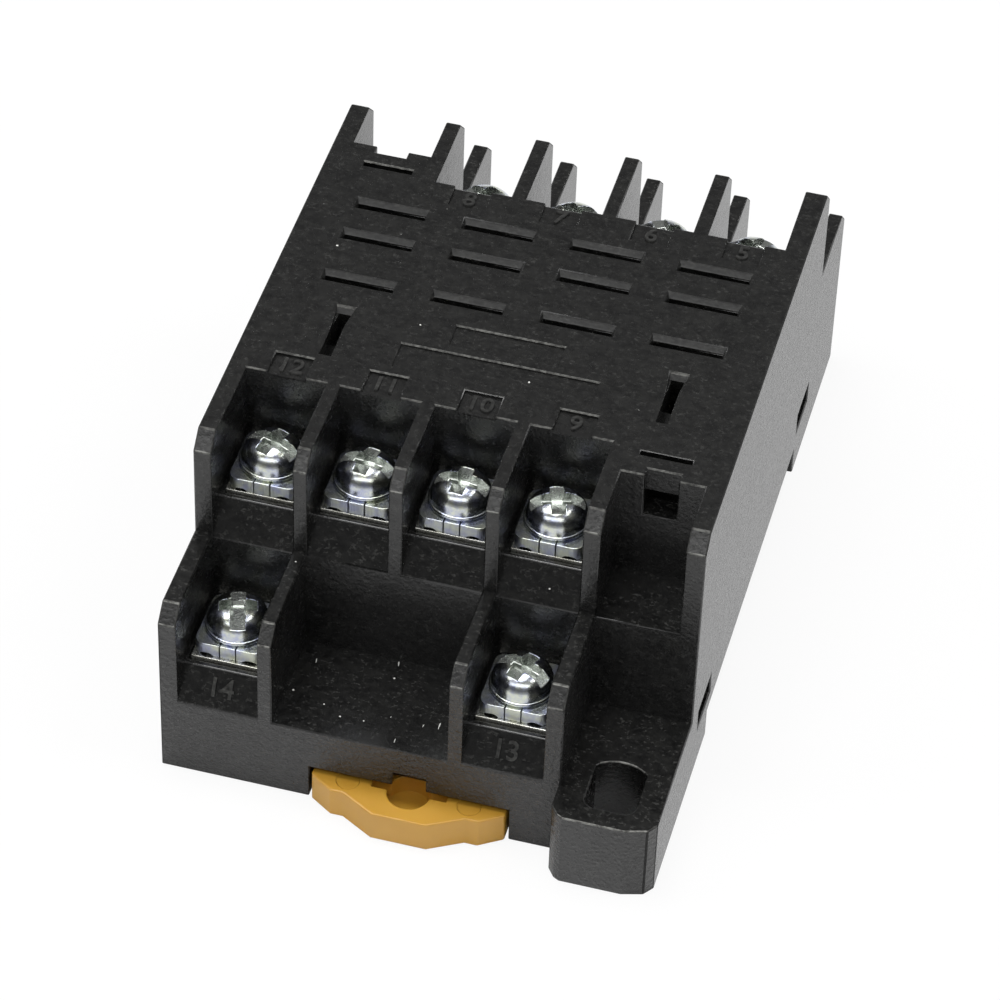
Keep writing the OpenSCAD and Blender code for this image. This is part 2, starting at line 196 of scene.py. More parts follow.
# Specks of dust lie on all faces that look up, most on the open floor between the lower front terminals, and
# short hairs lie two ways on that floor.
def dustyColour(tree, place, colour, skin):
    look = nylonLook
    where = skin["where"]
    low = addNode(tree, "ShaderNodeMath", {0: where["Z"], 1: look["openHeight"] * mm}, operation="LESS_THAN")
    front = addNode(tree, "ShaderNodeMath", {0: where["Y"], 1: look["openFront"] * mm}, operation="LESS_THAN")
    left = addNode(tree, "ShaderNodeMath", {0: where["X"], 1: look["openRight"] * mm}, operation="LESS_THAN")
    ahead = addNode(tree, "ShaderNodeMath", {0: low.outputs[0], 1: front.outputs[0]}, operation="MULTIPLY")
    openArea = addNode(tree, "ShaderNodeMath", {0: ahead.outputs[0], 1: left.outputs[0]},
                       operation="MULTIPLY")
    share = addNode(tree, "ShaderNodeMapRange", {
        "Value": openArea.outputs[0], "To Min": look["dustShare"], "To Max": look["floorDustShare"]})
    cells = addNode(tree, "ShaderNodeTexVoronoi", {"Vector": place, "Scale": perMetre(look["dustSpacing"])})
    lot = addNode(tree, "ShaderNodeSeparateColor", {0: cells.outputs["Color"]})
    chosen = addNode(tree, "ShaderNodeMath", {0: lot.outputs[0], 1: share.outputs[0]}, operation="LESS_THAN")
    dot = addNode(tree, "ShaderNodeMath", {
        0: cells.outputs["Distance"], 1: look["dustSize"] / look["dustSpacing"]}, operation="LESS_THAN")
    dots = addNode(tree, "ShaderNodeMath", {0: dot.outputs[0], 1: chosen.outputs[0]}, operation="MULTIPLY")
    litter = dots.outputs[0]
    drift = addNode(tree, "ShaderNodeTexNoise", {
        "Vector": place, "Scale": perMetre(look["bendSize"]), "Detail": 1.0})
    bend = addNode(tree, "ShaderNodeVectorMath", {
        0: drift.outputs["Color"], 1: [look["hairBend"] * mm] * 3, 2: place}, operation="MULTIPLY_ADD")
    squeezed = look["hairSpacing"] * look["hairStretch"]
    for turn in look["hairTurns"]:
        turned = addNode(tree, "ShaderNodeMapping", {
            "Vector": bend.outputs[0], "Rotation": (0, 0, turn), "Scale": (1, look["hairStretch"], 1)})
        strands = addNode(tree, "ShaderNodeTexVoronoi", {
            "Vector": turned.outputs["Vector"], "Scale": perMetre(squeezed)})
        thin = addNode(tree, "ShaderNodeMath", {
            0: strands.outputs["Distance"], 1: look["hairSize"] / squeezed}, operation="LESS_THAN")
        draw = addNode(tree, "ShaderNodeSeparateColor", {0: strands.outputs["Color"]})
        few = addNode(tree, "ShaderNodeMath", {0: draw.outputs[1], 1: look["hairShare"]},
                      operation="LESS_THAN")
        hair = addNode(tree, "ShaderNodeMath", {0: thin.outputs[0], 1: few.outputs[0]}, operation="MULTIPLY")
        onFloor = addNode(tree, "ShaderNodeMath", {0: hair.outputs[0], 1: openArea.outputs[0]},
                          operation="MULTIPLY")
        litter = addNode(tree, "ShaderNodeMath", {0: litter, 1: onFloor.outputs[0]},
                         operation="MAXIMUM").outputs[0]
    up = addNode(tree, "ShaderNodeMath", {0: skin["way"]["Z"], 1: 0.4}, operation="GREATER_THAN")
    lying = addNode(tree, "ShaderNodeMath", {0: litter, 1: up.outputs[0]}, operation="MULTIPLY")
    dusty = addNode(tree, "ShaderNodeMix", {
        "Factor": lying.outputs[0], mixA: colour, mixB: linear(look["dust"])}, data_type="RGBA")
    return dusty.outputs[mixed]


# How deep the grain is in metres: the two flanks and both end faces are spark-textured, the wells are not.
def grainDepth(tree, place, skin):
    look = nylonLook
    fade = look["flatRelief"] - look["relief"]
    flat = addNode(tree, "ShaderNodeMath", {0: skin["sloping"], 1: fade * mm, 2: look["relief"] * mm},
                   operation="MULTIPLY_ADD")
    deckOnly = addNode(tree, "ShaderNodeMath", {0: skin["sloping"], 1: skin["coarse"]}, operation="SUBTRACT")
    depth = addNode(tree, "ShaderNodeMath", {
        0: deckOnly.outputs[0], 1: look["deckRelief"] * mm, 2: flat.outputs[0]}, operation="MULTIPLY_ADD")
    apart = addNode(tree, "ShaderNodeVectorMath", {0: place}, operation="ABSOLUTE")
    reached = addNode(tree, "ShaderNodeSeparateXYZ", {0: apart.outputs[0]}).outputs
    flank = addNode(tree, "ShaderNodeMath", {0: reached["X"], 1: look["flankX"] * mm},
                    operation="GREATER_THAN")
    flankFace = addNode(tree, "ShaderNodeMath", {0: flank.outputs[0], 1: skin["sideways"]},
                        operation="MULTIPLY")
    end = addNode(tree, "ShaderNodeMath", {0: reached["Y"], 1: look["endY"] * mm}, operation="GREATER_THAN")
    endwards = addNode(tree, "ShaderNodeMath", {0: skin["way"]["Y"]}, operation="ABSOLUTE")
    endFace = addNode(tree, "ShaderNodeMath", {0: end.outputs[0], 1: endwards.outputs[0]},
                      operation="MULTIPLY")
    outside = addNode(tree, "ShaderNodeMath", {0: flankFace.outputs[0], 1: endFace.outputs[0]},
                      operation="MAXIMUM")
    deeper = addNode(tree, "ShaderNodeMath", {
        0: outside.outputs[0], 1: look["skinRelief"] * mm, 2: depth.outputs[0]}, operation="MULTIPLY_ADD")
    return deeper.outputs[0]


# Nylon filled with short glass fibres, injection moulded: near black and satin, with a painted highlight on
# its rounded edges, which are also matt, with pale fibre ends in the skin and a little dust on it. Real fibre
# ends are about a hundredth of a millimetre across, too fine to show, so they are drawn as coarse as they
# need to be.
def glassFilledNylon():
    look = nylonLook
    material, tree, shader, place = newMaterial("black glass-filled nylon")
    skin = mouldedSkin(tree, place)
    # The mesh marks where the painted edge highlight lies; the same mark also makes those faces duller.
    edgeLit = addNode(tree, "ShaderNodeAttribute", attribute_name="edgeLit").outputs["Fac"]
    flowed = addNode(tree, "ShaderNodeMapping", {
        "Vector": place, "Scale": (look["flowStretch"], 1, 1)}).outputs["Vector"]
    glass = addNode(tree, "ShaderNodeTexNoise", {
        "Vector": flowed, "Scale": perMetre(look["speckSize"]), "Detail": 2.0,
        "Roughness": 0.65}).outputs["Fac"]
    fibred = fibredColour(tree, place, flowed, glass, skin)
    highlighted = rubbedColour(tree, fibred, edgeLit, glass, skin)
    tree.links.new(dustyColour(tree, place, highlighted, skin), shader.inputs["Base Color"])
    drawn = addNode(tree, "ShaderNodeMapping", {"Vector": place, "Scale": (1, look["grainStretch"], 1)})
    grain = addNode(tree, "ShaderNodeTexNoise", {
        "Vector": drawn.outputs["Vector"], "Scale": perMetre(look["grainSize"]),
        "Detail": 3.0, "Roughness": 0.6})
    dull = addNode(tree, "ShaderNodeMapRange", {
        "Value": skin["coarse"], "To Min": look["smooth"], "To Max": look["coarse"]})
    rough = addNode(tree, "ShaderNodeMath", {
        0: grain.outputs["Fac"], 1: look["grainDull"], 2: dull.outputs[0]}, operation="MULTIPLY_ADD")
    duller = addNode(tree, "ShaderNodeMath", {0: edgeLit, 1: look["edgeDull"], 2: rough.outputs[0]},
                     operation="MULTIPLY_ADD", use_clamp=True)
    tree.links.new(duller.outputs[0], shader.inputs["Roughness"])
    bump = addNode(tree, "ShaderNodeBump", {
        "Height": grain.outputs["Fac"], "Strength": 1.0, "Distance": grainDepth(tree, place, skin)})
    tree.links.new(bump.outputs["Normal"], shader.inputs["Normal"])
    shader.inputs["IOR"].default_value = 1.58
    return material


acetalLook = dict(
    deep="#c18f2b", pale="#cd9c3c", cloudSize=3.5, grainSize=0.22, smooth=0.3, dull=0.42, relief=0.012,
    glow=0.1, glowReach=(0.9, 0.5, 0.2),
)


# Acetal, injection moulded and dyed ochre: smooth, waxy, with light passing a little into it.
def ochreAcetal():
    look = acetalLook
    material, tree, shader, place = newMaterial("ochre moulded acetal")
    cloud = addNode(tree, "ShaderNodeTexNoise", {
        "Vector": place, "Scale": perMetre(look["cloudSize"]), "Detail": 3.0})
    tint = addNode(tree, "ShaderNodeMix", {
        "Factor": cloud.outputs["Fac"], mixA: linear(look["deep"]), mixB: linear(look["pale"])},
        data_type="RGBA")
    tree.links.new(tint.outputs[mixed], shader.inputs["Base Color"])
    grain = addNode(tree, "ShaderNodeTexNoise", {
        "Vector": place, "Scale": perMetre(look["grainSize"]), "Detail": 3.0})
    rough = addNode(tree, "ShaderNodeMapRange", {
        "Value": grain.outputs["Fac"], "From Min": 0.3, "From Max": 0.7,
        "To Min": look["smooth"], "To Max": look["dull"]})
    tree.links.new(rough.outputs["Result"], shader.inputs["Roughness"])
    bump = addNode(tree, "ShaderNodeBump", {
        "Height": grain.outputs["Fac"], "Strength": 0.4, "Distance": look["relief"] * mm})
    tree.links.new(bump.outputs["Normal"], shader.inputs["Normal"])
    shader.inputs["Subsurface Weight"].default_value = look["glow"]
    shader.inputs["Subsurface Radius"].default_value = [reach * mm for reach in look["glowReach"]]
    shader.inputs["Subsurface Scale"].default_value = 1.0
    shader.inputs["IOR"].default_value = 1.6
    return material


zincLook = dict(first="#b4b9d0", second="#d2d6c8", recess="#c9cdc8", smooth=0.12, dull=0.28)
tinLook = dict(first="#dcdcd6", second="#c4c3b8", recess="#c4c3b8", smooth=0.16, dull=0.36)
platingLook = dict(
    filmSize=1.3, scuffSize=0.35, streakSize=0.16, streakStretch=0.12, recessDull=0.02, shearedDull=0.2,
    relief=0.02, recessRelief=0.03, shearedRelief=0.08,
)


# Bright plated metal. Zinc with a clear passivation has a film that shifts from blue-violet to green-yellow,
# thick and pale in a driver recess; tin is whiter and softer. A face cut by the press is duller and streaked
# from top to bottom. Real scuffs and streaks are too fine to show, so they are drawn as coarse as they need.
def platedMetal(name, finish):
    look = platingLook
    material, tree, shader, place = newMaterial(name)
    cloud = addNode(tree, "ShaderNodeTexNoise", {
        "Vector": place, "Scale": perMetre(look["filmSize"]), "Detail": 4.0, "Roughness": 0.65})
    film = addNode(tree, "ShaderNodeMapRange", {
        "Value": cloud.outputs["Fac"], "From Min": 0.38, "From Max": 0.62})
    tint = addNode(tree, "ShaderNodeMix", {
        "Factor": film.outputs[0], mixA: linear(finish["first"]), mixB: linear(finish["second"])},
        data_type="RGBA")
    recess = addNode(tree, "ShaderNodeAttribute", attribute_name="recess").outputs["Fac"]
    lined = addNode(tree, "ShaderNodeMix", {
        "Factor": recess, mixA: tint.outputs[mixed], mixB: linear(finish["recess"])}, data_type="RGBA")
    tree.links.new(lined.outputs[mixed], shader.inputs["Base Color"])
    scuff = addNode(tree, "ShaderNodeTexNoise", {
        "Vector": place, "Scale": perMetre(look["scuffSize"]), "Detail": 5.0, "Roughness": 0.7})
    rough = addNode(tree, "ShaderNodeMapRange", {
        "Value": scuff.outputs["Fac"], "From Min": 0.35, "From Max": 0.7,
        "To Min": finish["smooth"], "To Max": finish["dull"]})
    lining = addNode(tree, "ShaderNodeMath", {0: recess, 1: look["recessDull"], 2: rough.outputs[0]},
                     operation="MULTIPLY_ADD")
    sheared = addNode(tree, "ShaderNodeAttribute", attribute_name="sheared").outputs["Fac"]
    torn = addNode(tree, "ShaderNodeMath", {0: sheared, 1: look["shearedDull"], 2: lining.outputs[0]},
                   operation="MULTIPLY_ADD")
    tree.links.new(torn.outputs[0], shader.inputs["Roughness"])
    drawn = addNode(tree, "ShaderNodeMapping", {"Vector": place, "Scale": (1, 1, look["streakStretch"])})
    streak = addNode(tree, "ShaderNodeTexNoise", {
        "Vector": drawn.outputs["Vector"], "Scale": perMetre(look["streakSize"]),
        "Detail": 3.0, "Roughness": 0.7})
    height = addNode(tree, "ShaderNodeMix", {
        "Factor": sheared, "A": scuff.outputs["Fac"], "B": streak.outputs["Fac"]}, data_type="FLOAT")
    pitted = addNode(tree, "ShaderNodeMath", {
        0: recess, 1: look["recessRelief"] * mm, 2: look["relief"] * mm}, operation="MULTIPLY_ADD")
    depth = addNode(tree, "ShaderNodeMath", {
        0: sheared, 1: look["shearedRelief"] * mm, 2: pitted.outputs[0]}, operation="MULTIPLY_ADD")
    bump = addNode(tree, "ShaderNodeBump", {
        "Height": height.outputs[0], "Strength": 0.6, "Distance": depth.outputs[0]})
    tree.links.new(bump.outputs["Normal"], shader.inputs["Normal"])
    shader.inputs["Metallic"].default_value = 1.0
    return material


nylon = glassFilledNylon()
acetal = ochreAcetal()
zinc = platedMetal("zinc plated steel", zincLook)
tin = platedMetal("tinned brass strip", tinLook)
print("materials made")


# Welds corners closer than the gap, in mm, and joins faces that turn by less than the angle, in degrees.
def weld(form, gap, angle):
    bmesh.ops.remove_doubles(form, verts=form.verts, dist=gap * mm)
    bmesh.ops.dissolve_limit(form, angle_limit=math.radians(angle), verts=form.verts, edges=form.edges,
                             use_dissolve_boundaries=False, delimit=set())


# A welded copy of a solid's loose triangles.
def solidForm(node):
    source = frame["nodes"][node].data
    form = bmesh.new()
    points = [form.verts.new(v.co) for v in source.vertices]
    for face in source.polygons:
        form.faces.new([points[i] for i in face.vertices])
    weld(form, gap=0.001, angle=0.5)
    return form


def meshOf(name, form):
    mesh = bpy.data.meshes.new(name)
    form.to_mesh(mesh)
    form.free()
    return mesh


def newPiece(name, mesh):
    piece = bpy.data.objects.new(name, mesh)
    bpy.context.scene.collection.objects.link(piece)
    return piece


# Turns a piece with its modifiers into a plain mesh.
def settled(piece):
    mesh = bpy.data.meshes.new_from_object(piece.evaluated_get(bpy.context.evaluated_depsgraph_get()))
    bpy.data.objects.remove(piece)
    return mesh


def bodyOf(node):
    return frame["nodes"][node]["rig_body"]


def placePiece(name, mesh, body, slot, material, *replaced):
    mesh.name = name
    mesh.materials.clear()
    mesh.materials.append(material)
    piece = newPiece(name, mesh)
    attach(piece, body)
    if replaced:
        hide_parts(*replaced)


rounding = dict(steps=2, outerTurn=0.9)   # facets across a rounded edge, and the turn in radians past which it gets the painted edge highlight


# Rounds the outer edges that turn by more than the angle. The two empty material slots let the bevel tell its
# own faces from the flats, and those that turn most are marked for the painted edge highlight.
def roundedMesh(name, form, radius, angle=30):
    sharp = math.radians(angle)
    weight = form.edges.layers.float.new("bevel_weight_edge")
    for side in form.edges:
        turn = side.calc_face_angle_signed(0)
        side[weight] = float(turn > sharp)
        side.smooth = turn > -sharp
    for face in form.faces:
        face.smooth = True
    mesh = meshOf(name, form)
    mesh.materials.append(None)
    mesh.materials.append(None)
    piece = newPiece(name, mesh)
    edge = piece.modifiers.new("edge", "BEVEL")
    edge.width = radius * mm
    edge.segments = rounding["steps"]
    edge.limit_method = "WEIGHT"
    edge.use_clamp_overlap = False
    edge.harden_normals = True
    edge.material = 1
    done = settled(piece)
    check = bmesh.new()
    check.from_mesh(done)
    outer = [face.material_index == 1
             and sum(side.calc_face_angle_signed(0) for side in face.edges) > rounding["outerTurn"]
             for face in check.faces]
    check.free()
    # Faces marked here get the painted edge highlight in the nylon.
    edgeLit = done.attributes.new("edgeLit", "FLOAT", "FACE")
    edgeLit.data.foreach_set("value", [float(isOuter) for isOuter in outer])
    done.polygons.foreach_set("material_index", [0] * len(outer))
    return done


# Adds a cutter, built by a function, to a piece.
def cut(piece, name, build):
    form = bmesh.new()
    build(form)
    cutter = newPiece(name, meshOf(name, form))
    hole = piece.modifiers.new(name, "BOOLEAN")
    hole.operation = "DIFFERENCE"
    hole.solver = "EXACT"
    hole.object = cutter
    return cutter


def cutAndRounded(name, base, cuts, radius, angle=30):
    piece = newPiece(name, meshOf(name, base))
    cutters = [cut(piece, name + "_cut%d" % i, build) for i, build in enumerate(cuts)]
    done = settled(piece)
    for cutter in cutters:
        bpy.data.objects.remove(cutter)
    form = bmesh.new()
    form.from_mesh(done)
    weld(form, gap=0.004, angle=0.3)
    return roundedMesh(name, form, radius, angle)


# Marks the faces that pass a test on their centre, in mm, and normal with a face attribute.
def markFaces(mesh, attribute, value, test):
    marks = mesh.attributes.get(attribute) or mesh.attributes.new(attribute, "FLOAT", "FACE")
    for face in mesh.polygons:
        if test(face.center / mm, face.normal):
            marks.data[face.index].value = value


arcSteps = 6   # facets in a quarter circle


# Points of a quarter circle in mm, from a first angle in degrees.
def cornerArc(x, y, radius, first):
    turns = [math.radians(first + 90 / arcSteps * step) for step in range(arcSteps + 1)]
    return [(x + radius * math.cos(turn), y + radius * math.sin(turn)) for turn in turns]


# Fills an outline and raises it from one height to another, all in mm.
def raiseOutline(form, outline, low, high):
    face = form.faces.new([form.verts.new((x * mm, y * mm, low * mm)) for x, y in outline])
    raised = bmesh.ops.extrude_face_region(form, geom=[face])
    lifted = [v for v in raised["geom"] if isinstance(v, bmesh.types.BMVert)]
    bmesh.ops.translate(form, verts=lifted, vec=(0, 0, (high - low) * mm))
    bmesh.ops.recalc_face_normals(form, faces=form.faces)


def addBox(form, low, high):
    middle = [(a + b) / 2 * mm for a, b in zip(low, high)]
    size = [(b - a) * mm for a, b in zip(low, high)]
    bmesh.ops.create_cube(form, size=1, matrix=Matrix.Translation(middle) @ Matrix.Diagonal((*size, 1)))


# A four-sided plug that narrows downwards from one half size to another.
def addPlug(form, top, bottom, high, low):
    corners = [(-1, -1), (1, -1), (1, 1), (-1, 1)]
    rings = []
    for half, z in ((bottom, low), (top, high)):
        rings.append([form.verts.new((x * half[0] * mm, y * half[1] * mm, z * mm)) for x, y in corners])
    form.faces.new(list(reversed(rings[0])))
    form.faces.new(rings[1])
    for i in range(4):
        k = (i + 1) % 4
        form.faces.new((rings[0][i], rings[0][k], rings[1][k], rings[1][i]))


def addRod(form, radius, length, sides, matrix=Matrix()):
    bmesh.ops.create_cone(form, cap_ends=True, segments=sides, radius1=radius * mm, radius2=radius * mm,
                          depth=length * mm, matrix=matrix)


# The front ear's slot in mm: far and near are its two ends, counted from its middle.
earSlot = dict(x=17.95, y=-33.7, half=2.25, far=2.95, near=-2.85, arch=3.3, nearCorner=1.0, low=-1, high=11)


# Ear slots as moulded: straight sides, a shallow arch at the inner end, round corners at the flat outer end.
def earSlotCut(form):
    size = earSlot
    corner, arch = size["nearCorner"], size["arch"]
    spread = math.asin(size["half"] / arch)
    crown = size["far"] - arch
    turns = [spread * (1 - i / arcSteps) for i in range(2 * arcSteps + 1)]
    rim = [(arch * math.sin(turn), crown + arch * math.cos(turn)) for turn in turns]
    for side, first in ((-1, 180), (1, 270)):
        rim += cornerArc(side * (size["half"] - corner), size["near"] + corner, corner, first)
    for way in (1, -1):   # the rear ear is the front one turned half round
        outline = [(way * (size["x"] + x), way * (size["y"] + y)) for x, y in rim]
        raiseOutline(form, outline, size["low"], size["high"])


# Heights and places are in mm; a tilt is the range of a face normal's Z, and a facing the most its Y may be.
# The lead-ins and the raised field edges get these shares of the painted edge highlight.
deckMarks = dict(
    leadInHeight=28.95, leadInReach=12.5, leadInTilt=(0.5, 0.9), leadInFacing=-0.3, leadInHighlight=0.04,
    fieldHeight=29.44, fieldFront=-3, fieldRear=12.5, fieldTilt=(0.2, 0.97), fieldFacing=-0.2, fieldHighlight=0.5,
)


def onLeadIn(centre, normal):
    marks = deckMarks
    least, most = marks["leadInTilt"]
    among = centre.z > marks["leadInHeight"] and abs(centre.y) < marks["leadInReach"]
    return among and least < normal.z < most and normal.y < marks["leadInFacing"]


def onFieldEdge(centre, normal):
    marks = deckMarks
    least, most = marks["fieldTilt"]
    beside = centre.y < marks["fieldFront"] or centre.y > marks["fieldRear"]
    among = beside and centre.z > marks["fieldHeight"]
    return among and least < normal.z < most and normal.y < marks["fieldFacing"]


edgeRadius = dict(housing=0.13, bottom_cover=0.12, rail_latch=0.16, contact=0.06, screw=0.06, clamp=0.06)

mouldings = (
    ("housing", nylon, "housing_plastic"),
    ("bottom_cover", nylon, "housing_plastic"),
    ("rail_latch", acetal, "latch_plastic"),
)

for node, material, slot in mouldings:
    cuts = [earSlotCut] if node == "housing" else []
    mesh = cutAndRounded(node, solidForm(node), cuts, edgeRadius[node])
    if node == "housing":
        # The deck's lead-ins and field edges get a share of the painted edge highlight.
        markFaces(mesh, "edgeLit", deckMarks["leadInHighlight"], onLeadIn)
        markFaces(mesh, "edgeLit", deckMarks["fieldHighlight"], onFieldEdge)
    placePiece(node + "_moulding", mesh, bodyOf(node), slot, material, node)
for number in terminals:
    node = "contact_" + number
    mesh = roundedMesh(node, solidForm(node), edgeRadius["contact"])
    placePiece(node + "_strip", mesh, bodyOf(node), "tinned_contact", tin, node)
print("mouldings and strips made")


# The recess is a slot across a cross whose arms narrow downwards; all sizes are in mm.
screwSize = dict(
    head=2.9, lip=0.4, waist=2.72, height=2.5, crown=2.45, segments=72, rings=14,
    footEdge=(0.12, 0.1), lipEdge=(0.06, 0.12), step=0.02, slot=1.3, slotDepth=0.95, slotReach=4,
    arm=2.0, armWidth=0.68, armTop=0.3, armFoot=1.1, footWidth=0.45, armDepth=1.4,
    core=1.2, crest=1.4, pitch=0.5, shank=7.95,
)


def screwHead():
    size = screwSize
    head, lip, waist = size["head"], size["lip"], size["waist"]
    outline = [(0, 0), (head - size["footEdge"][0], 0), (head, size["footEdge"][1]),
               (head, lip - size["lipEdge"][1]), (head - size["lipEdge"][0], lip - size["step"]),
               (waist + size["step"], lip)]
    power = 2 / size["crown"]
    for i in range(1, size["rings"] + 1):
        turn = math.pi / 2 * i / size["rings"]
        across = waist * math.cos(turn) ** power if i < size["rings"] else 0
        outline.append((across, lip + (size["height"] - lip) * math.sin(turn) ** power))
    form = bmesh.new()
    points = [form.verts.new((r * mm, 0, z * mm)) for r, z in outline]
    for a, b in zip(points, points[1:]):
        form.edges.new((a, b))
    bmesh.ops.spin(form, geom=form.verts[:] + form.edges[:], cent=(0, 0, 0), axis=(0, 0, 1),
                   angle=math.tau, steps=size["segments"], use_merge=True, use_duplicate=False)
    bmesh.ops.remove_doubles(form, verts=form.verts, dist=0.001 * mm)
    bmesh.ops.recalc_face_normals(form, faces=form.faces)
    return form


def slotCut(form):
    size = screwSize
    reach, half, top = size["slotReach"], size["slot"] / 2, size["height"]
    addBox(form, (-reach, -half, top - size["slotDepth"]), (reach, half, top + 1))


def armCut(form):
    size = screwSize
    addPlug(form, (size["arm"], size["armWidth"]), (size["armFoot"], size["footWidth"]),
            size["height"] + size["armTop"], size["height"] - size["armDepth"])


def crossArmCut(form):
    armCut(form)
    bmesh.ops.rotate(form, verts=form.verts, cent=(0, 0, 0), matrix=Matrix.Rotation(math.pi / 2, 3, "Z"))


# Two slits part a tongue from the plate, and two shallow grooves underneath hold the wires. Sizes are in mm;
# holeCut and grooveCut are how long their cutters are.
clampSize = dict(
    width=6.2, length=6.4, thick=1.35, corner=0.95, hole=1.75, slit=0.07, tongue=0.73, slitLength=1.3,
    groove=0.36, grooveWide=1.8, grooveAt=1.95, grooveDrop=0.06, holeCut=4, grooveCut=9,
)


def clampPlate():
    size = clampSize
    x = size["width"] / 2 - size["corner"]
    y = size["length"] / 2 - size["corner"]
    rim = []
    for cx, cy, first in ((x, y, 0), (-x, y, 90), (-x, -y, 180), (x, -y, 270)):
        rim += cornerArc(cx, cy, size["corner"], first)
    form = bmesh.new()
    raiseOutline(form, rim, 0, size["thick"])
    return form


def clampHole(form):
    addRod(form, clampSize["hole"], clampSize["holeCut"], sides=48)


def clampSlits(form):
    size = clampSize
    half = size["slit"] / 2
    front = -size["length"] / 2
    for side in (-1, 1):
        x = side * size["tongue"]
        addBox(form, (x - half, front - 1, -1), (x + half, front + size["slitLength"], 2))


def wireGrooves(form):
    size = clampSize
    for side in (-1, 1):
        place = Matrix.Translation((side * size["grooveAt"] * mm, 0, -size["grooveDrop"] * mm))
        lying = Matrix.Rotation(math.pi / 2, 4, "X")
        widened = Matrix.Diagonal((size["grooveWide"], 1, 1, 1))
        addRod(form, size["groove"], size["grooveCut"], sides=32, matrix=place @ lying @ widened)


headCuts = [slotCut, armCut, crossArmCut]
clampCuts = [clampHole, clampSlits, wireGrooves]
headMesh = cutAndRounded("screw_head", screwHead(), headCuts, edgeRadius["screw"], angle=40)
clampMesh = cutAndRounded("clamp_plate", clampPlate(), clampCuts, edgeRadius["clamp"], angle=40)

# Faces in the driver recess lie this deep under the dome, in mm, inside its rim, as a share of the waist, and
# above its floor; a cut edge's normal has less than this much Z.
markReach = dict(depth=0.16, rim=0.98, floor=0.2, edgeTilt=0.35)


def inRecess(centre, normal):
    size = screwSize
    crown = size["crown"]
    reach = math.hypot(centre.x, centre.y) / size["waist"]
    if reach > markReach["rim"] or centre.z < size["lip"] + markReach["floor"]:
        return False
    dome = size["lip"] + (size["height"] - size["lip"]) * (1 - reach ** crown) ** (1 / crown)
    return centre.z < dome - markReach["depth"]


def onEdgeFace(centre, normal):
    return abs(normal.z) < markReach["edgeTilt"]


markFaces(headMesh, "recess", 1.0, inRecess)
markFaces(clampMesh, "sheared", 1.0, onEdgeFace)
print("screw head", len(headMesh.polygons), "faces, clamp", len(clampMesh.polygons), "faces")

threadLook = dict(turnPoints=20, ridgeSides=3, coreSides=32, hang=-0.995)   # hung with its top in the head


# Sets one stamped or headed part on its terminal, and where Threaded is on winds a thread along its shank.
def makeSeatTree():
    look = threadLook
    tree = bpy.data.node_groups.new("seat on terminal", "GeometryNodeTree")
    wanted = dict(Geometry=["Geometry"], Vector=["Seat"], Bool=["Threaded"], Material=["Finish"],
                  Float=["Turn", "Core Radius", "Crest Height", "Pitch", "Length"])
    for kind, names in wanted.items():
        for name in names:
            tree.interface.new_socket(name, in_out="INPUT", socket_type="NodeSocket" + kind)
    tree.interface.new_socket("Geometry", in_out="OUTPUT", socket_type="NodeSocketGeometry")
    given = addNode(tree, "NodeGroupInput").outputs
    turns = addNode(tree, "ShaderNodeMath", {0: given["Length"], 1: given["Pitch"]}, operation="DIVIDE")
    helix = addNode(tree, "GeometryNodeCurveSpiral", {
        "Resolution": look["turnPoints"], "Rotations": turns.outputs[0], "Start Radius": given["Core Radius"],
        "End Radius": given["Core Radius"], "Height": given["Length"]})
    ridge = addNode(tree, "GeometryNodeCurvePrimitiveCircle", {
        "Resolution": look["ridgeSides"], "Radius": given["Crest Height"]})
    wound = addNode(tree, "GeometryNodeCurveToMesh", {
        "Curve": helix.outputs[0], "Profile Curve": ridge.outputs[0], "Fill Caps": True})
    core = addNode(tree, "GeometryNodeMeshCylinder", {
        "Vertices": look["coreSides"], "Radius": given["Core Radius"], "Depth": given["Length"]})
    half = addNode(tree, "ShaderNodeMath", {0: given["Length"], 1: 0.5}, operation="MULTIPLY")
    lift = addNode(tree, "ShaderNodeCombineXYZ", {"Z": half.outputs[0]})
    raised = addNode(tree, "GeometryNodeTransform", {
        "Geometry": core.outputs[0], "Translation": lift.outputs[0]})
    shank = addNode(tree, "GeometryNodeJoinGeometry", {"Geometry": raised.outputs[0]})
    tree.links.new(wound.outputs[0], shank.inputs["Geometry"])
    under = addNode(tree, "ShaderNodeMath", {0: given["Length"], 1: look["hang"]}, operation="MULTIPLY")
    drop = addNode(tree, "ShaderNodeCombineXYZ", {"Z": under.outputs[0]})
    hung = addNode(tree, "GeometryNodeTransform", {
        "Geometry": shank.outputs[0], "Translation": drop.outputs[0]})
    chosen = addNode(tree, "GeometryNodeSwitch", {"Switch": given["Threaded"], "True": hung.outputs[0]},
                     input_type="GEOMETRY")
    whole = addNode(tree, "GeometryNodeJoinGeometry", {"Geometry": given["Geometry"]})
    tree.links.new(chosen.outputs[0], whole.inputs["Geometry"])
    spin = addNode(tree, "ShaderNodeCombineXYZ", {"Z": given["Turn"]})
    seated = addNode(tree, "GeometryNodeTransform", {
        "Geometry": whole.outputs[0], "Translation": given["Seat"], "Rotation": spin.outputs[0]})
    real = addNode(tree, "GeometryNodeRealizeInstances", {"Geometry": seated.outputs[0]})
    dressed = addNode(tree, "GeometryNodeSetMaterial", {
        "Geometry": real.outputs[0], "Material": given["Finish"]})
    addNode(tree, "NodeGroupOutput", {"Geometry": dressed.outputs[0]})
    return tree


seatTree = makeSeatTree()
seatSockets = {item.name: item.identifier for item in seatTree.interface.items_tree if item.in_out == "INPUT"}


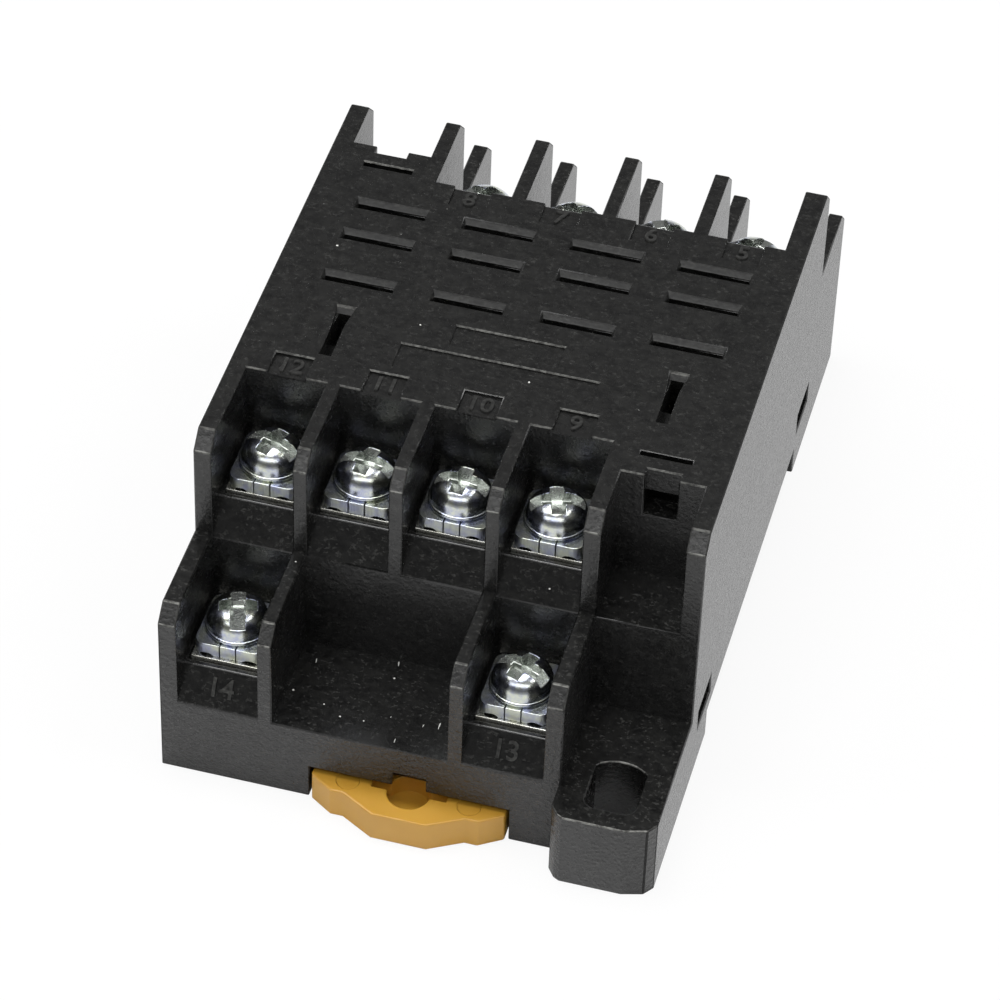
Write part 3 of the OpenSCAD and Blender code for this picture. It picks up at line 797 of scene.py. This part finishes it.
def seatedMesh(name, mesh, values):
    piece = newPiece(name, mesh.copy())
    nodes = piece.modifiers.new("seat", "NODES")
    nodes.node_group = seatTree
    for label, value in values.items():
        nodes[seatSockets[label]] = value
    return settled(piece)


# A terminal's seat is the middle of its clamp plate's underside; the rear terminals lie beyond Y 0.
def terminalSeat(number):
    low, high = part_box("clamp_" + number)
    return Vector(((low[0] + high[0]) / 2, (low[1] + high[1]) / 2, low[2]))


# Driver slot angles in degrees, as each screw happened to be left.
slotTurn = dict(zip(terminals, (20, 75, 130, 5, 62, 118, 35, 150, 18, -4, -8, -20, -21, 106)))

for number in terminals:
    seat = terminalSeat(number)
    halfTurn = math.pi if seat.y > 0 else 0.0
    plate = seatedMesh("plate", clampMesh, {"Seat": seat, "Turn": halfTurn, "Finish": zinc})
    node = "clamp_" + number
    placePiece(node + "_plate", plate, bodyOf(node), "zinc_steel", zinc, node)
    node = "screw_" + number
    seat.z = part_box(node)[1][2] - screwSize["height"] * mm
    screw = seatedMesh("screw", headMesh, {
        "Seat": seat, "Turn": math.radians(slotTurn[number]) + halfTurn, "Finish": zinc, "Threaded": True,
        "Core Radius": screwSize["core"] * mm, "Crest Height": (screwSize["crest"] - screwSize["core"]) * mm,
        "Pitch": screwSize["pitch"] * mm, "Length": screwSize["shank"] * mm})
    placePiece(node + "_headed", screw, bodyOf(node), "zinc_steel", zinc, node)
print("screws and clamps seated")


# Sizes and places are in mm; a font's size is its capital height over capShare.
# The last two shares set how much painted highlight the numbers get on the deck and on the slope.
numberLook = dict(
    height=1.75, capShare=0.7, raised=0.2, strokeSwell=0.03, curvePoints=3, fieldY=13.1, fieldZ=29.23,
    slopeY=-33.85, slopeZ=9.75, slopeRise=3.1, slopeRun=2.1, deckHighlight=0.9, slopeHighlight=0.16,
)


def numberMesh(text, place, turn):
    look = numberLook
    data = bpy.data.curves.new("number", "FONT")
    data.body = text
    data.size = look["height"] / look["capShare"] * mm
    data.align_x = "CENTER"
    data.align_y = "CENTER"
    data.extrude = look["raised"] * mm
    data.offset = look["strokeSwell"] * mm
    data.resolution_u = look["curvePoints"]
    mesh = settled(newPiece("number", data))
    mesh.transform(Matrix.Translation(place) @ Euler(turn).to_matrix().to_4x4())
    return mesh


# Raised terminal numbers: on the deck beside the upper terminals, on the slope under the front lower ones.
def makeNumbers():
    look = numberLook
    form = bmesh.new()
    for number in terminals:
        seat = terminalSeat(number)
        way = 1 if seat.y > 0 else -1
        lower = seat.z < tierSplit * mm
        if lower and way > 0:
            continue
        if lower:
            place = (seat.x, look["slopeY"] * mm, look["slopeZ"] * mm)
            turn = (math.atan2(look["slopeRise"], look["slopeRun"]), 0, 0)
        else:
            place = (seat.x, way * look["fieldY"] * mm, look["fieldZ"] * mm)
            turn = (0, 0, 0)
        mesh = numberMesh(str(int(number)), place, turn)
        form.from_mesh(mesh)
        bpy.data.meshes.remove(mesh)
    bmesh.ops.remove_doubles(form, verts=form.verts, dist=0.0005 * mm)
    mesh = meshOf("terminal_numbers", form)
    # The numbers are painted lighter as a highlight, strongly on the deck and a little on the slope.
    edgeLit = mesh.attributes.new("edgeLit", "FLOAT", "FACE")
    edgeLit.data.foreach_set("value", [
        look["deckHighlight"] if face.center.z > tierSplit * mm else look["slopeHighlight"] for face in mesh.polygons])
    return mesh


placePiece("terminal_numbers", makeNumbers(), bodyOf("housing"), "housing_plastic", nylon)
print("numbers made")


studio = dict(floorSize=6.0, floorWhite="#f2f2f2", cameraGlow=0.9, mirrorGlow=1.0)


# White paper, matt: it glows a little, so that it stays white all over for the camera and in the gloss of the
# socket, but not on the patch that the socket itself covers.
def paperSweep():
    material = bpy.data.materials.new("white paper sweep")
    material.use_nodes = True
    tree = material.node_tree
    tree.nodes.clear()
    paper = addNode(tree, "ShaderNodeBsdfDiffuse", {"Color": linear(studio["floorWhite"])})
    glow = addNode(tree, "ShaderNodeEmission", {"Color": (1, 1, 1, 1), "Strength": 1.0})
    seen = addNode(tree, "ShaderNodeLightPath")
    straight = addNode(tree, "ShaderNodeMath", {
        0: seen.outputs["Is Camera Ray"], 1: seen.outputs["Is Transmission Ray"]}, operation="MAXIMUM")
    whole = addNode(tree, "ShaderNodeMath", {0: straight.outputs[0], 1: studio["cameraGlow"]},
                    operation="MULTIPLY")
    place = addNode(tree, "ShaderNodeTexCoord").outputs["Object"]
    apart = addNode(tree, "ShaderNodeVectorMath", {0: place}, operation="ABSOLUTE")
    sides = addNode(tree, "ShaderNodeSeparateXYZ", {0: apart.outputs[0]}).outputs
    beside = addNode(tree, "ShaderNodeMath", {0: sides["X"], 1: cadBox[1].x}, operation="GREATER_THAN")
    beyond = addNode(tree, "ShaderNodeMath", {0: sides["Y"], 1: cadBox[1].y}, operation="GREATER_THAN")
    clear = addNode(tree, "ShaderNodeMath", {0: beside.outputs[0], 1: beyond.outputs[0]}, operation="MAXIMUM")
    mirrored = addNode(tree, "ShaderNodeMath", {0: clear.outputs[0], 1: studio["mirrorGlow"]},
                       operation="MULTIPLY")
    share = addNode(tree, "ShaderNodeMath", {
        0: seen.outputs["Is Glossy Ray"], 1: mirrored.outputs[0], 2: whole.outputs[0]},
        operation="MULTIPLY_ADD")
    mix = addNode(tree, "ShaderNodeMixShader", {0: share.outputs[0], 1: paper.outputs[0], 2: glow.outputs[0]})
    addNode(tree, "ShaderNodeOutputMaterial", {"Surface": mix.outputs[0]})
    return material


def makeFloor():
    half = studio["floorSize"] / 2
    low = cadBox[0].z
    corners = [(-half, -half, low), (half, -half, low), (half, half, low), (-half, half, low)]
    mesh = bpy.data.meshes.new("floor")
    mesh.from_pydata(corners, [], [(0, 1, 2, 3)])
    mesh.materials.append(paperSweep())
    newPiece("floor", mesh)


# Height, as the sine of the elevation, and brightness.
skyLook = dict(horizon=(0.13, 0.45), shoulder=(0.32, 0.13), crown=(0.75, 0.25))


# Brighter low down, where the paper rises, and a darker room above; the camera sees it white all over.
def makeSky():
    world = bpy.data.worlds.new("studio")
    bpy.context.scene.world = world
    world.use_nodes = True
    tree = world.node_tree
    way = addNode(tree, "ShaderNodeTexCoord").outputs["Generated"]
    height = addNode(tree, "ShaderNodeSeparateXYZ", {0: way}).outputs["Z"]
    ramp = addNode(tree, "ShaderNodeValToRGB", {"Fac": height})
    stops = ramp.color_ramp.elements
    stops.new(skyLook["crown"][0])
    for stop, (position, grey) in zip(stops, skyLook.values()):
        stop.position = position
        stop.color = (grey, grey, grey, 1)
    seen = addNode(tree, "ShaderNodeLightPath")
    shown = addNode(tree, "ShaderNodeMix", {
        "Factor": seen.outputs["Is Camera Ray"], mixA: ramp.outputs["Color"], mixB: (1, 1, 1, 1)},
        data_type="RGBA")
    tree.links.new(shown.outputs[mixed], tree.nodes["Background"].inputs["Color"])


# Directions are in degrees as seen from the socket, distances and sizes in metres, power in watts.
studioLamps = {
    "overhead softbox": dict(azimuth=160, elevation=82, distance=1.0, width=0.5, height=0.5, power=5.4),
    "left softbox": dict(azimuth=185, elevation=50, distance=1.0, width=0.4, height=0.5, power=1.8),
    "right softbox": dict(azimuth=8, elevation=52, distance=1.0, width=0.4, height=0.5, power=2.9),
    "front strip": dict(azimuth=275, elevation=54, distance=1.0, width=1.3, height=0.3, power=2.5),
    "rear left lamp": dict(azimuth=130, elevation=28, distance=1.2, width=0.05, height=0.05, power=0.25),
    "rear right lamp": dict(azimuth=55, elevation=28, distance=1.2, width=0.05, height=0.05, power=0.25),
}


def makeLamp(name, azimuth, elevation, distance, width, height, power):
    turn, tilt = math.radians(azimuth), math.radians(elevation)
    level = math.cos(tilt)
    place = Vector((math.cos(turn) * level, math.sin(turn) * level, math.sin(tilt))) * distance
    data = bpy.data.lights.new(name, "AREA")
    data.shape = "RECTANGLE"
    data.size = width
    data.size_y = height
    data.energy = power
    lamp = bpy.data.objects.new(name, data)
    lamp.location = place
    lamp.rotation_euler = (-place).to_track_quat("-Z", "Y").to_euler()
    bpy.context.scene.collection.objects.link(lamp)


# Angles are in degrees, the distance, lens and sensor in mm, nearest and farthest in metres.
view = dict(azimuth=13.4, elevation=44.0, roll=2.375, distance=424.0, lens=165.2, sensor=36,
            shift=(-0.0126, 0.0495), nearest=0.01, farthest=20)


def makeCamera():
    turn, tilt, roll = (math.radians(view[k]) for k in ("azimuth", "elevation", "roll"))
    back = Vector((math.sin(turn) * math.cos(tilt), -math.cos(turn) * math.cos(tilt), math.sin(tilt)))
    right = Vector((math.cos(turn), math.sin(turn), 0))
    up = back.cross(right)
    rolledRight = math.cos(roll) * right + math.sin(roll) * up
    rolledUp = -math.sin(roll) * right + math.cos(roll) * up
    data = bpy.data.cameras.new("camera")
    data.lens = view["lens"]
    data.sensor_width = view["sensor"]
    data.shift_x, data.shift_y = view["shift"]
    data.clip_start, data.clip_end = view["nearest"], view["farthest"]
    camera = bpy.data.objects.new("camera", data)
    axes = Matrix((rolledRight, rolledUp, back)).transposed().to_4x4()
    camera.matrix_world = Matrix.Translation(back * view["distance"] * mm) @ axes
    bpy.context.scene.collection.objects.link(camera)
    bpy.context.scene.camera = camera


makeFloor()
makeSky()
for name, lamp in studioLamps.items():
    makeLamp(name, **lamp)
makeCamera()
bpy.context.scene.view_settings.view_transform = "Standard"
print("stage made")
